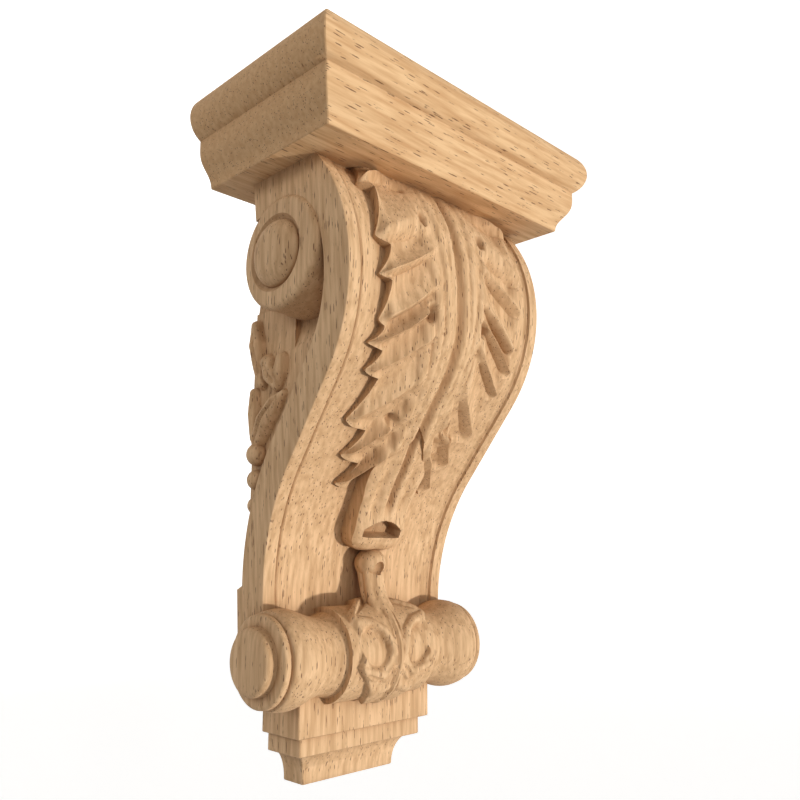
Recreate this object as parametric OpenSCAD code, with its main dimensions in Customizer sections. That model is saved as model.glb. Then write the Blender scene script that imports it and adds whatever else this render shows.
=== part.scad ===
// Wooden corbel bracket: a moulded cap block glued on a carved S-scroll body.
// Front is -Y, the wall is the plane Y = 0, +Z is up, +X is the viewer's right.
// The origin is the centre of the flat back.  Millimetres.

/* [Overall] */
// total height, top of the cap to the underside of the foot
total_h = 250; // [200:1:320]
// height of the cap block
cap_h = 35.8; // [30:0.2:42]

/* [Cap] */
// half width of the cap at its underside
cap_half = 62.7; // [58:0.1:68]
// depth of the cap at its underside, from the wall
cap_depth = 67.9; // [62:0.1:74]
// radius of the bullnose round the top of the cap
bull_r = 10; // [8:0.5:11]
// how far the bullnose centre stands out from the underside outline
bull_out = 0.3; // [0:0.1:1]
// outward step of the small ogee under the bullnose
ogee_out = 5.5; // [4:0.1:7]
// height of the ogee above the underside
ogee_h = 14.2; // [11:0.1:16]
// height of the little upright fillet between ogee and bullnose
fillet_h = 3; // [2:0.1:4]

/* [Console] */
// half width of the body just under the cap
body_half_top = 53.2; // [50:0.1:56]
// half width of the body at the foot of the S
body_half_low = 43.8; // [40:0.1:47]
// greatest depth of the upper bulge, from the wall
bulge_depth = 65.3; // [62:0.1:68]
// drop from the cap top to the deepest point of the bulge
bulge_drop = 75.5; // [70:0.5:80]
// radius of the upper, bulging curve
bulge_r = 59.5; // [55:0.5:64]
// slope of the straight run between the two curves, from upright
run_slope = 37.5; // [33:0.5:42]
// length of the straight run
run_len = 36; // [30:1:42]
// radius of the lower, hollow curve
hollow_r = 75.6; // [70:0.2:80]

/* [Sides] */
// half width between the sunk side grounds
ground_half = 40.4; // [38:0.1:43]
// width of the raised band that follows the front edge
band_w = 12.5; // [11:0.1:14]
// volute centre, distance from the wall
vol_y = 30.5; // [28:0.1:33]
// volute centre, drop from the cap top
vol_drop = 66; // [64:0.1:68]
// outer radius of the volute
vol_r = 20.8; // [19:0.1:22]
// radius where the flat of the volute ring ends
vol_flat_r = 17.2; // [16:0.1:18]
// radius of the raised eye of the volute
eye_r = 12.8; // [11:0.1:14]
// how far the volute stands proud of the band
vol_proud = 1.5; // [0.5:0.1:3]
// radius of the scoop hollowed under the volute
scoop_r = 32; // [30:0.5:34]

/* [Leaf] */
// height of the leaf's back above the face of the console
leaf_rise = 5.2; // [4:0.1:8]
// height of the overlapping lips of its leaflets
lip_rise = 2.2; // [1:0.1:3]
// thickness of the leaf at its edge
leaf_edge = 0.9; // [0.5:0.1:2]
// radius of the curled-over tip
tip_r = 8.5; // [6:0.5:10]
// half width of the curled-over tip
tip_half = 12.5; // [9:0.5:15]

/* [Roll and foot] */
// roll axis, distance from the wall
roll_y = 19; // [17:0.1:21]
// roll axis, drop from the cap top
roll_drop = 205.3; // [203:0.1:208]
// greatest radius of the roll
roll_r = 16.9; // [15:0.1:18]
// radius of the waists each side of the little leaf
waist_r = 13.6; // [12:0.1:15]
// half length of the roll to its end discs
roll_half = 49.5; // [48:0.1:51]
// radius of the end buttons
button_r = 11.2; // [10:0.1:12]
// half width of the upper foot band
foot_half = 32; // [30:0.1:34]
// depth of the upper foot band
foot_depth = 20.9; // [19:0.1:23]
// drop to the underside of the upper foot band
foot_drop = 232.2; // [230:0.1:234]

/* [Hidden] */
top_z = total_h / 2;
body_top = top_z - cap_h;
wood_light = [0.85, 0.67, 0.47];
wood_body = [0.80, 0.61, 0.41];

function zd(drop) = top_z - drop;
// half width of the tapering body at a drop below the cap top
function half_at(drop) = body_half_top + (body_half_low - body_half_top) * (drop - cap_h) / (200 - cap_h);

// ---- the S curve of the front, by length s along it from the deepest point, down is plus ----
s_a = bulge_r * run_slope * PI / 180;
s_b = s_a + run_len;
c1 = [bulge_depth - bulge_r, bulge_drop];
p1 = [c1[0] + bulge_r * cos(run_slope), c1[1] + bulge_r * sin(run_slope)];
p2 = [p1[0] - run_len * sin(run_slope), p1[1] + run_len * cos(run_slope)];
c2 = [p2[0] + hollow_r * cos(run_slope), p2[1] + hollow_r * sin(run_slope)];
function slope_at(s) = s < s_a ? s / bulge_r * 180 / PI : s < s_b ? run_slope : run_slope - (s - s_b) / hollow_r * 180 / PI;
// [depth, drop] of the curve, moved out by h along its own normal
function on_s(s, h = 0) =
    let (a = slope_at(s),
         q = s < s_a ? [c1[0] + bulge_r * cos(a), c1[1] + bulge_r * sin(a)]
           : s < s_b ? [p1[0] - (s - s_a) * sin(run_slope), p1[1] + (s - s_a) * cos(run_slope)]
           : [c2[0] - hollow_r * cos(a), c2[1] - hollow_r * sin(a)])
    [q[0] + h * cos(a), q[1] + h * sin(a)];
s_top = -44;
s_end = s_b + hollow_r * (run_slope + 6) * PI / 180;

function lin(a, b, t) = a + (b - a) * t;
function ramp(a, b, v) = let (t = min(1, max(0, (v - a) / (b - a)))) t * t * (3 - 2 * t);
function flip(p) = [for (i = [len(p) - 1 : -1 : 0]) [-p[i][0], p[i][1]]];

// a profile given as [out, z] points, mitred round three sides against the wall
module three_sided(prof, half, depth) {
    zlo = prof[0][1];
    zhi = prof[len(prof) - 1][1];
    intersection() {
        rotate([90, 0, 0]) translate([0, 0, -1]) linear_extrude(height = 2 * depth + 40)
            polygon(concat([for (p = prof) [half + p[0], p[1]]], flip([for (p = prof) [half + p[0], p[1]]])));
        rotate([90, 0, 90]) translate([0, 0, -2 * half]) linear_extrude(height = 4 * half)
            polygon(concat([[0, zlo]], [for (p = prof) [-(depth + p[0]), p[1]]], [[0, zhi]]));
    }
}

module cap() color(wood_light) {
    ogee = [for (i = [0 : 8]) let (t = i / 8) [ogee_out * (t - 0.13 * sin(360 * t)), body_top + ogee_h * (1 - pow(1 - t, 0.85)) ]];
    bull = [for (i = [0 : 16]) let (a = -59 + i * (149) / 16) [bull_out + bull_r * cos(a), top_z - bull_r + bull_r * sin(a)]];
    three_sided(concat([[0, body_top]], [for (i = [1 : 8]) ogee[i]], [[ogee_out, body_top + ogee_h + fillet_h]], bull), cap_half, cap_depth);
}

// ---- console block ----
module console_block() {
    front = [for (s = [s_top : 3 : s_end]) let (q = on_s(s)) [-q[0], zd(q[1])]];
    last = on_s(s_end);
    intersection() {
        rotate([90, 0, 90]) translate([0, 0, -60]) linear_extrude(height = 120)
            polygon(concat([[0, body_top], [-50.8, body_top]], [for (p = front) if (p[1] < body_top - 0.5) p],
                           [[-roll_y, zd(roll_drop)], [-6, zd(roll_drop + 8)], [0, zd(roll_drop + 8)]]));
        rotate([90, 0, 0]) translate([0, 0, -1]) linear_extrude(height = 90)
            polygon([[half_at(230), zd(230)], [half_at(30), zd(30)], [-half_at(30), zd(30)], [-half_at(230), zd(230)]]);
    }
}

// outline of the sunk side ground: behind the band, round the volute
function sink_outline() = concat(
    [[1, body_top + 1], [-14, body_top + 1], [-15, zd(50)], [-(vol_y - 2), zd(vol_drop - vol_r + 1.5)], [-(vol_y + 12), zd(vol_drop - vol_r + 4)]],
    [for (s = [-26 : 4 : s_b + 46]) let (q = on_s(s, -band_w)) if (q[0] > 0.5) [-q[0], zd(q[1])]],
    [[1, zd(183)]]);

module side_sink() {
    rotate([90, 0, 90]) translate([0, 0, ground_half]) linear_extrude(height = 30) polygon(sink_outline());
    intersection() {
        rotate([90, 0, 90]) translate([0, 0, 30]) linear_extrude(height = 30) polygon(sink_outline());
        translate([0, -(vol_y - 5), zd(vol_drop)]) rotate([0, 90, 0]) rotate_extrude($fn = 48)
            polygon([[0, ground_half - 3], [22, ground_half - 3], [28, ground_half - 1.8], [scoop_r, ground_half + 0.01], [scoop_r, ground_half + 1], [0, ground_half + 1]]);
    }
}

module volute() {
    f = half_at(vol_drop) + vol_proud;
    translate([0, -vol_y, zd(vol_drop)]) rotate([0, 90, 0]) rotate_extrude($fn = 48)
        polygon(concat([[0, 34], [vol_r + 1.2, 34], [vol_r + 0.6, ground_half], [vol_r, ground_half + 3], [vol_r, f - 4]],
            [for (i = [1 : 4]) let (a = i * 22.5) [vol_flat_r + (vol_r - vol_flat_r) * cos(a), f - 4 + 4 * sin(a)]],
            [[0, f]]));
    translate([0, -(vol_y - 1.7), zd(vol_drop)]) rotate([0, 90, 0]) rotate_extrude($fn = 48)
        polygon(concat([[0, 40], [eye_r - 0.4, 40], [eye_r - 0.4, f - 0.5], [eye_r, f + 0.6]],
            [for (i = [1 : 5]) let (t = i / 5) [eye_r * (1 - t), f + 0.6 + 2.6 * (1 - pow(1 - t, 2))]]));
}

// ---- relief sheets: rows of cross sections skinned into one closed solid ----
module loaf(rows) {
    n = len(rows[0]);
    m = len(rows);
    polyhedron(points = [for (r = rows) each r],
        faces = concat(
            [[for (i = [0 : n - 1]) i]],
            [[for (i = [n - 1 : -1 : 0]) (m - 1) * n + i]],
            [for (j = [0 : m - 2], i = [0 : n - 1]) let (k = (i + 1) % n) each
                [[j * n + i, (j + 1) * n + i, (j + 1) * n + k], [j * n + i, (j + 1) * n + k, j * n + k]]]),
        convexity = 6);
}

// ---- main leaf, laid out along its own flow lines ----
// one row per leaflet, top to bottom: [leaves the rib at, tip across, tip along, notch across above it, bend]
leaflets = [
    [-40, 40, -38.5, 38, 0.9],
    [-37, 42, -29, 36, 0.7],
    [-34, 39.3, -7, 35.6, 0.5],
    [-30, 38, 5, 34.4, 0.5],
    [-18, 35.6, 20, 33.9, 0.55],
    [-9, 37.5, 27.5, 33.8, 0.6],
    [0, 34.6, 37, 31.8, 0.6],
    [14, 32.6, 57, 28.6, 0.68],
    [32, 27.2, 70.5, 22.8, 0.85],
    [52, 23.8, 82, 18.5, 1],
    [72, 15, 89, 13.5, 1]];
// a point of the leaf: leaflet k, fraction f across it, t from the rib (0) to the edge (1)
function leaf_us(k, f, t) =
    let (a = leaflets[k], b = leaflets[k + 1],
         eu = lin(b[3], b[1], pow(f, 1.4)), es = lin(a[2] + 0.8, b[2], f),
         m = lin(a[0], b[0], f), p = lin(a[4], b[4], f))
    [eu * t, lin(m, es, pow(t, p))];
function leaf_h(f, t) = leaf_edge + leaf_rise * pow(max(0, 1 - t * t), 0.7)
    + lip_rise * sin(180 * pow(t, 0.8)) * (pow(f, 1.6) - 0.25)
    - 1.2 * (1 - ramp(0, 0.12, t));

module front_leaf() {
    m = 6;
    grid = [for (k = [0 : len(leaflets) - 2], f = [0, 0.4, 0.75, 1])
        [for (i = [-m : m]) let (t = abs(i) / m, q = leaf_us(k, f, t), e = min(1, (q[1] + 39) / 4))
            [sign(i) * q[0], q[1], leaf_h(f, t) * max(0.3, e)]]];
    n = 2 * m + 1;
    r = len(grid);
    top = [for (g = grid, p = g) let (q = on_s(p[1], p[2])) [p[0], -q[0], min(zd(q[1]), body_top - 0.3)]];
    low = [for (g = grid, p = g) let (q = on_s(p[1], -3.5)) [p[0] * 0.97, -q[0], min(zd(q[1]), body_top - 0.8)]];
    ring = concat([for (i = [0 : n - 1]) i], [for (j = [1 : r - 1]) j * n + n - 1],
                  [for (i = [n - 2 : -1 : 0]) (r - 1) * n + i], [for (j = [r - 2 : -1 : 1]) j * n]);
    polyhedron(points = concat(top, low),
        faces = concat(
            [for (j = [0 : r - 2], i = [0 : n - 2]) let (a = j * n + i) each [[a, a + 1, a + n], [a + 1, a + n + 1, a + n]]],
            [for (j = [0 : r - 2], i = [0 : n - 2]) let (a = r * n + j * n + i) each [[a, a + n, a + 1], [a + 1, a + n, a + n + 1]]],
            [for (i = [0 : len(ring) - 1]) let (a = ring[i], b = ring[(i + 1) % len(ring)]) each [[a, a + r * n, b], [b, a + r * n, b + r * n]]]),
        convexity = 8);
}

// the tip of the leaf rolls over forwards into a short, hollowed curl
module leaf_tip() {
    q = on_s(89, tip_r - 1.5);
    translate([0, -q[0], zd(q[1])]) rotate([0, 90, 0]) difference() {
        rotate_extrude($fn = 40) polygon(concat([[0, -tip_half]],
            [for (i = [0 : 10]) let (a = -90 + i * 18) [tip_r * pow(cos(a), 0.6), tip_half * sin(a)]], [[0, tip_half]]));
        rotate([0, 0, -58]) translate([-tip_r * 1.15, 0, 0]) sphere(r = tip_r * 0.75, $fn = 32);
    }
}

// ---- husk drop on each sunk side ground: [distance from wall, drop, half width, rise] ----
function husk_h(y, d) =
    let (b = max([for (k = [[13, 104, 7.5, 4.6], [10, 120, 5.5, 4.4], [5.2, 133.5, 4.2, 4.6], [4.6, 143.5, 3.6, 4.2], [4.2, 152, 3, 3.8]])
            let (q = norm([y - k[0], (d - k[1]) * (k[1] < 110 ? 0.8 : 1)]) / k[2]) q < 1 ? k[3] * sqrt(1 - q * q) : 0]),
         v = 1 - 0.5 * (1 - ramp(0, 1.4, abs(y - 12 - (d - 104) * 0.1))) * (d < 126 ? 1 : 0))
    b * v;

module husk() {
    rows = [for (d = [96 : 4 : 157])
        let (y0 = 1.0, y1 = min(24, max(8.4, 24 - (d - 108) * 0.32)))
        concat([[ground_half - 6, -y0, zd(d)]],
               [for (i = [0 : 8]) let (y = lin(y0, y1, i / 8)) [ground_half + 0.35 + husk_h(y, d), -y, zd(d)]],
               [[ground_half - 6, -y1, zd(d)]])];
    loaf(rows);
}

// ---- roll ----
module roll() {
    half = concat([[0, roll_half + 3.4], [button_r - 4, roll_half + 3.2], [button_r - 1.4, roll_half + 2.6], [button_r, roll_half + 1.5],
            [button_r, roll_half + 0.4], [button_r - 0.8, roll_half], [roll_r - 2.6, roll_half], [roll_r - 1.9, roll_half - 0.7],
            [roll_r - 1.6, roll_half - 1.6], [roll_r - 1, roll_half - 2]],
        [for (x = [45, 40, 36, 31, 26, 22, 18, 14])
            let (k = x > 26 ? lin(waist_r, roll_r, ramp(26, 42, x)) : lin(roll_r - 0.5, waist_r, ramp(13, 26, x))) [k, x]]);
    translate([0, -roll_y, zd(roll_drop)]) rotate([0, 90, 0]) rotate_extrude($fn = 48)
        polygon(concat(half, [for (i = [len(half) - 1 : -1 : 0]) if (half[i][1] > 0.5) [half[i][0], -half[i][1]]]));
}

// ---- little leaf lying over the front of the roll, by angle round the roll ----
module small_leaf() {
    rows = [for (i = [0 : 11]) let (a = -50 + i * 11.5,
            w = a > 42 ? lin(13, 7, (a - 42) / 34) : lin(21, 15, (a + 50) / 92) * (1 - 0.3 * (1 - ramp(0, 14, abs(a - 6)))))
        concat([[w, -roll_y - (roll_r - 6) * cos(a), zd(roll_drop) + (roll_r - 6) * sin(a)],
                [-w, -roll_y - (roll_r - 6) * cos(a), zd(roll_drop) + (roll_r - 6) * sin(a)]],
            [for (k = [-5 : 5]) let (v = abs(k) / 5, r = roll_r - 1 + 3.6 * (1 - pow(v, 3)) - 1.6 * (1 - ramp(0, 0.35, abs(v - 0.55))))
                [w * k / 5, -roll_y - r * cos(a), zd(roll_drop) + r * sin(a)]])];
    loaf(rows);
    translate([0, -roll_y - roll_r * cos(66) - 3, zd(roll_drop) + roll_r * sin(66) + 6]) difference() {
        sphere(r = 7, $fn = 32);
        translate([1, -6.5, 1]) sphere(r = 3, $fn = 24);
    }
}

module foot() {
    zb = zd(total_h);
    zf = zd(foot_drop);
    cove = [for (i = [0 : 7]) let (a = i * 90 / 7) [-10.1 + 5.6 * (1 - cos(a)), zb + 11.2 * sin(a)]];
    three_sided(concat(cove, [[-2.7, zf - 6.6], [-2.7, zf], [0, zf], [0, zd(roll_drop + 6)]]), foot_half, foot_depth);
}

module carved_body() color(wood_body) {
    difference() {
        union() {
            console_block();
            foot();
        }
        side_sink();
        mirror([1, 0, 0]) side_sink();
    }
    roll();
    volute();
    mirror([1, 0, 0]) volute();
    husk();
    mirror([1, 0, 0]) husk();
    front_leaf();
    leaf_tip();
    small_leaf();
}

cap();
carved_body();
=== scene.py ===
# %% [markdown]
# # A carved corbel bracket in raw rubberwood
# A corbel is a bracket that is fixed to a wall and carries a shelf or a mantel.  This one is
# two pieces of wood: a moulded cap, and a scroll-shaped body whose front is covered by one
# large acanthus leaf.  It could be sculpted by hand in Blender, but then nothing in it would
# have a size.  Here the work is done in numbers and in a carver's order: the block, its
# turned ends, the leaf, and the small leaves last.  Every part is a closed shell in
# millimetres, and the shells of one piece of wood are joined as they are made.

# %% Load the fixed frame
import math

import bmesh
import bpy
import numpy as np
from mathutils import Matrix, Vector


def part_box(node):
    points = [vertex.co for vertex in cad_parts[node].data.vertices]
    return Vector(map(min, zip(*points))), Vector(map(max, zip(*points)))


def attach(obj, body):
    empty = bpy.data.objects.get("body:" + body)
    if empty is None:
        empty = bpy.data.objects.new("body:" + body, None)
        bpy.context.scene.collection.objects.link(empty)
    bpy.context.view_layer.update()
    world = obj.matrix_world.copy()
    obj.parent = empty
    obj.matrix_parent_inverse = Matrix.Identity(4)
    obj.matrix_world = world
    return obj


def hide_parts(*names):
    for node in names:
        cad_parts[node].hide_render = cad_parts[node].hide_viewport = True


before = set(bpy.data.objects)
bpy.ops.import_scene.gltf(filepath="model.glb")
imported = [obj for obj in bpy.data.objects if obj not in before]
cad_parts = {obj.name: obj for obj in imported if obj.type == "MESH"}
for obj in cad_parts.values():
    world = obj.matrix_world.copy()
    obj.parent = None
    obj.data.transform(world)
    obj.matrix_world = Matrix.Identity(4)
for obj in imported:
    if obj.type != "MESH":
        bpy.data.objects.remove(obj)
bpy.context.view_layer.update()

MM = 0.001

# %% [markdown]
# ## Driving sizes
# All heights are measured down from the top of the cap, as a joiner would with a rule, and
# one function turns such a drop into a height in the frame.  The top and bottom of each piece
# of wood are read from the solid model, so that the finished wood fills the same space.

# %% Sizes of the cap and the body
TOP_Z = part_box("cap")[1][2] / MM
CAP_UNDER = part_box("cap")[0][2] / MM
FOOT_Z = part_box("carved_body")[0][2] / MM
CAP_HALF, CAP_DEPTH = 62.7, 67.9
HALF_TOP, HALF_LOW = 53.2, 43.8
HALF_LOW_DROP = 200
# the side behind the front band is sunk to this distance from the middle
GROUND_HALF = 40.4


def height(drop):
    """Height in the frame of a drop below the cap's top."""
    return TOP_Z - np.asarray(drop, dtype=float)


def half_width(drop):
    """Half width of the tapering body at a drop."""
    cap_high = TOP_Z - CAP_UNDER
    share = (np.asarray(drop, dtype=float) - cap_high) / (HALF_LOW_DROP - cap_high)
    return HALF_TOP + (HALF_LOW - HALF_TOP) * share


def ramp(low, high, value):
    """Smooth rise from 0 at low to 1 at high."""
    t = np.clip((np.asarray(value, dtype=float) - low) / (high - low), 0, 1)
    return t * t * (3 - 2 * t)


print(f"cap {TOP_Z - CAP_UNDER:.1f} mm high, body {CAP_UNDER - FOOT_Z:.1f} mm high")

# %% [markdown]
# ## The S of the front
# The front is a bulging arc, a straight run and a hollow arc, each tangent to the next, which
# is how such a scroll is set out with compasses.  A Bezier curve would look much the same,
# but only arcs give a length along the curve in closed form.  With that length, s, and x,
# across, every place on the front has two numbers, and carving is a height h above it, along
# the curve's own normal.

# %% Setting out the S
BULGE_R, RUN, HOLLOW_R = 59.5, 36.0, 75.6
SLOPE = math.radians(37.5)
BULGE_C = np.array([65.3 - BULGE_R, 75.5])
S_A = BULGE_R * SLOPE
S_B = S_A + RUN
RUN_TOP = BULGE_C + BULGE_R * np.array([math.cos(SLOPE), math.sin(SLOPE)])
RUN_END = RUN_TOP + RUN * np.array([-math.sin(SLOPE), math.cos(SLOPE)])
HOLLOW_C = RUN_END + HOLLOW_R * np.array([math.cos(SLOPE), math.sin(SLOPE)])


def on_scroll(s, h=0.0):
    """Depth from the wall and height of the front at s, raised by h."""
    s = np.asarray(s, dtype=float)
    on_bulge, on_run = s < S_A, s < S_B
    slope = np.where(on_bulge, s / BULGE_R, np.where(on_run, SLOPE, SLOPE - (s - S_B) / HOLLOW_R))
    depth = np.where(on_bulge, BULGE_C[0] + BULGE_R * np.cos(slope),
                     np.where(on_run, RUN_TOP[0] - (s - S_A) * math.sin(SLOPE),
                              HOLLOW_C[0] - HOLLOW_R * np.cos(slope)))
    drop = np.where(on_bulge, BULGE_C[1] + BULGE_R * np.sin(slope),
                    np.where(on_run, RUN_TOP[1] + (s - S_A) * math.cos(SLOPE),
                             HOLLOW_C[1] - HOLLOW_R * np.sin(slope)))
    return depth + h * np.cos(slope), height(drop + h * np.sin(slope))


S_TOP = -44.0
S_END = S_B + HOLLOW_R * math.radians(43.5)
print(f"the S runs {S_END - S_TOP:.0f} mm")

# %% [markdown]
# ## From rows of points to closed shells
# A carved solid is skinned over rows of points.  Loops stacked in rows give a bar, such as
# the body or a moulding.  Two grids, one for the face and one buried in the wood behind it,
# give a slab, which suits relief.  Turned parts come from a profile swung round an axis.
# Blender's Spin and Displace would do parts of this, but they leave sheets, and all of these
# end as closed shells, because only closed shells can be joined without holes.

# %% Shells
def make_shell(name, points, faces):
    """A closed mesh object from millimetre points, with its faces turned outwards."""
    mesh = bpy.data.meshes.new(name)
    mesh.from_pydata([tuple(p) for p in np.asarray(points) * MM], [], faces)
    work = bmesh.new()
    work.from_mesh(mesh)
    bmesh.ops.recalc_face_normals(work, faces=work.faces)
    work.to_mesh(mesh)
    work.free()
    shell = bpy.data.objects.new(name, mesh)
    bpy.context.scene.collection.objects.link(shell)
    return shell


def bar(name, loops):
    """A bar skinned over closed loops that all have the same number of points."""
    loops = np.asarray(loops, dtype=float)
    rows, n = loops.shape[:2]
    faces = [tuple(range(n)), tuple((rows - 1) * n + i for i in reversed(range(n)))]
    for j in range(rows - 1):
        for i in range(n):
            k = (i + 1) % n
            faces.append((j * n + i, (j + 1) * n + i, (j + 1) * n + k, j * n + k))
    return make_shell(name, loops.reshape(-1, 3), faces)


def slab(name, face, back):
    """A slab between a carved face grid and a buried back grid."""
    rows, n = face.shape[:2]
    size = rows * n
    faces = []
    for j in range(rows - 1):
        for i in range(n - 1):
            a = j * n + i
            faces.append((a, a + 1, a + n + 1, a + n))
            faces.append((size + a, size + a + n, size + a + n + 1, size + a + 1))
    top, right = list(range(n)), [j * n + n - 1 for j in range(1, rows)]
    bottom = [(rows - 1) * n + i for i in range(n - 2, -1, -1)]
    left = [j * n for j in range(rows - 2, 0, -1)]
    rim = top + right + bottom + left
    for a, b in zip(rim, rim[1:] + rim[:1]):
        faces.append((a, a + size, b + size, b))
    return make_shell(name, np.concatenate([face.reshape(-1, 3), back.reshape(-1, 3)]), faces)


# %% Turned parts
def turned(name, profile, centre_y, centre_z, around=120, side=1):
    """A part turned about an axis along X, from (radius, x) points that end on the axis."""
    inner = np.array(profile[1:-1], dtype=float)
    angle = np.linspace(0, 2 * math.pi, around, endpoint=False)
    points = [(side * x, centre_y + r * math.cos(a), centre_z + r * math.sin(a))
              for r, x in inner for a in angle]
    first, last = len(points), len(points) + 1
    tail = (len(inner) - 1) * around
    points += [(side * x, centre_y, centre_z) for x in (profile[0][1], profile[-1][1])]
    faces = []
    for i in range(around):
        k = (i + 1) % around
        faces.append((first, i, k))
        faces.append((last, tail + k, tail + i))
        for j in range(0, tail, around):
            faces.append((j + i, j + around + i, j + around + k, j + k))
    return make_shell(name, points, faces)


# %% Strokes and the carver's hand
EDGE_POWER = 0.55


def strokes_height(across, along, strokes):
    """Relief drawn as strokes, each a list of (across, along, half width, rise)."""
    relief = np.zeros_like(across)
    for stroke in strokes:
        for (x0, y0, w0, h0), (x1, y1, w1, h1) in zip(stroke[:-1], stroke[1:]):
            run = (x1 - x0) ** 2 + (y1 - y0) ** 2
            t = np.clip(((across - x0) * (x1 - x0) + (along - y0) * (y1 - y0)) / run, 0, 1)
            off = np.hypot(across - x0 - t * (x1 - x0), along - y0 - t * (y1 - y0))
            inside = np.clip(1 - (off / (w0 + (w1 - w0) * t)) ** 2, 0, 1)
            relief = np.maximum(relief, (h0 + (h1 - h0) * t) * inside ** EDGE_POWER)
    return relief


def hand_marks(a, b, size=1.0):
    """Small unevenness that the carver's hand leaves, as a fixed sum of waves."""
    long_wave = np.sin(a * 0.63 + 1.3 * np.sin(b * 0.31)) * np.sin(b * 0.47 + 1.1 * np.sin(a * 0.23))
    short_wave = np.sin(a * 1.31 + b * 0.77 + 0.9) * np.sin(b * 1.13 - a * 0.41)
    return size * (0.6 * long_wave + 0.4 * short_wave)


sample = hand_marks(np.arange(0.0, 60.0), np.arange(0.0, 60.0))
print(f"hand marks run from {sample.min():.2f} to {sample.max():.2f} of their size")

# %% [markdown]
# ## The body block
# The block is cut to the S on the band saw, and its sides taper towards the foot.  Along each
# edge of the front runs a flat border, closed by a scratched groove; inside it the ground of
# the leaf lies a little lower.  The border could be cut as a separate step, but rows of loops
# down the S make block and border in one go, with the points crowded where the groove is.

# %% The block with its border
# distance from the block's edge and height over the S
border = [(0, -0.4), (0.15, -0.12), (0.45, 0), (2.6, 0), (5.0, 0), (5.3, -0.6), (5.7, -1.05),
          (6.1, -0.6), (6.6, -0.4), (7.1, -0.8), (7.6, -1.0), (8.2, -0.9), (10, -0.95),
          (13, -1.0), (17, -1.0), (24, -1.0)]
GROUND_H, TOOLED_BELOW = -1.0, -0.85
LEVEL_STEP = 1.5
ROLL_Y, ROLL_DROP = 19.0, 205.3


def body_loop(s):
    """One level of the block: across the front at s, then round by the wall."""
    half = float(half_width(TOP_Z - float(on_scroll(s)[1])))
    mirrored = border[::-1]
    across = [off - half for off, _ in border] + [0] + [half - off for off, _ in mirrored]
    sunk = [h for _, h in border] + [GROUND_H] + [h for _, h in mirrored]
    marks = hand_marks(np.array(across), np.full(len(across), s), 0.12)
    loop = []
    for x, h, mark in zip(across, sunk, marks):
        depth, z = on_scroll(s, h + (mark if h < TOOLED_BELOW else 0))
        loop.append((x, -float(depth), min(float(z), CAP_UNDER)))
    z = min(float(on_scroll(s)[1]), CAP_UNDER)
    return loop + [(half, 0, z), (0, 0, z), (-half, 0, z)]


def last_loop(depth, drop):
    """A plain level of the block under the S, where the roll covers it."""
    half, z = float(half_width(drop)), float(height(drop))
    gaps = 2 * len(border)
    front = [(-half + 2 * half * i / gaps, -depth, z) for i in range(gaps + 1)]
    return front + [(half, 0, z), (0, 0, z), (-half, 0, z)]


levels = [body_loop(s) for s in np.arange(S_TOP, S_END, LEVEL_STEP)]
levels += [last_loop(ROLL_Y, ROLL_DROP), last_loop(6.0, ROLL_DROP + 8)]
body = bar("corbel_body", levels)
print(f"block of {len(levels)} levels")

# %% [markdown]
# ## The sunk sides
# Behind the front edge a band is left standing, and the side behind it is sunk to a flat
# ground, with a deeper scoop under the volute.  The sunk shape is made as a solid of its own
# and cut away from the block with a Boolean modifier, as the carver does it.  The manifold
# solver is exact on closed shells and quick enough for a hundred thousand faces.

# %% Joining and cutting
def joined(target, other, way):
    """Join or cut two closed shells, exactly, and drop the second one."""
    step = target.modifiers.new("step", 'BOOLEAN')
    step.operation = way
    step.solver = 'MANIFOLD'
    step.object = other
    bpy.context.view_layer.update()
    depsgraph = bpy.context.evaluated_depsgraph_get()
    result = bpy.data.meshes.new_from_object(target.evaluated_get(depsgraph))
    target.modifiers.remove(step)
    old, other_mesh = target.data, other.data
    target.data = result
    bpy.data.meshes.remove(old)
    bpy.data.objects.remove(other)
    bpy.data.meshes.remove(other_mesh)
    print(f"  {way.lower()}: {len(result.polygons)} faces")
    if not result.polygons:
        raise RuntimeError("a shell wasn't closed")


# %% Cutting the sides
BAND = 12.5
VOL_Y, VOL_DROP, VOL_R = 30.5, 66.0, 20.8
SCOOP_R = 32.0
SIDES = (-1, 1)


def sink_outline():
    """Outline of the sunk ground as (distance from the wall, height)."""
    above = VOL_DROP - VOL_R
    outline = [(-1, CAP_UNDER + 1), (14, CAP_UNDER + 1), (15, float(height(50))),
               (VOL_Y - 2, float(height(above + 1.5))), (VOL_Y + 12, float(height(above + 4)))]
    for s in np.arange(-26, S_B + 46, 2):
        depth, z = on_scroll(s, -BAND)
        if depth > 0.5:
            outline.append((float(depth), float(z)))
    return outline + [(-1, float(height(183)))]


# the scoop's radius and its depth under the sunk ground
bowl = [(0, -3.2), (10, -3.2), (20, -2.9), (25, -2.2), (29, -1.1), (SCOOP_R, 0.01), (SCOOP_R, 1),
        (0, 1)]
bowl = [(r, GROUND_HALF + out) for r, out in bowl]
for side in SIDES:
    deep, ground, outside = [[(side * x, -y, z) for y, z in sink_outline()]
                             for x in (30, GROUND_HALF, 70)]
    joined(body, bar("sink", [ground, outside]), 'DIFFERENCE')
    # the scoop stays inside the sunk outline
    scoop = turned("scoop", bowl, -(VOL_Y - 5), float(height(VOL_DROP)), 96, side)
    joined(scoop, bar("guard", [deep, outside]), 'INTERSECT')
    joined(body, scoop, 'DIFFERENCE')

# %% [markdown]
# ## Volutes, roll and foot
# The volutes and the roll are round work about a level axis, so they are turned from
# profiles, as on a lathe.  The foot is a moulding that returns round three sides, mitred at
# its corners, and so is the cap.  Sweeping a profile along a path would need its corners
# mended; one function that lays a profile round three sides of a block mitres them exactly.

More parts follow.
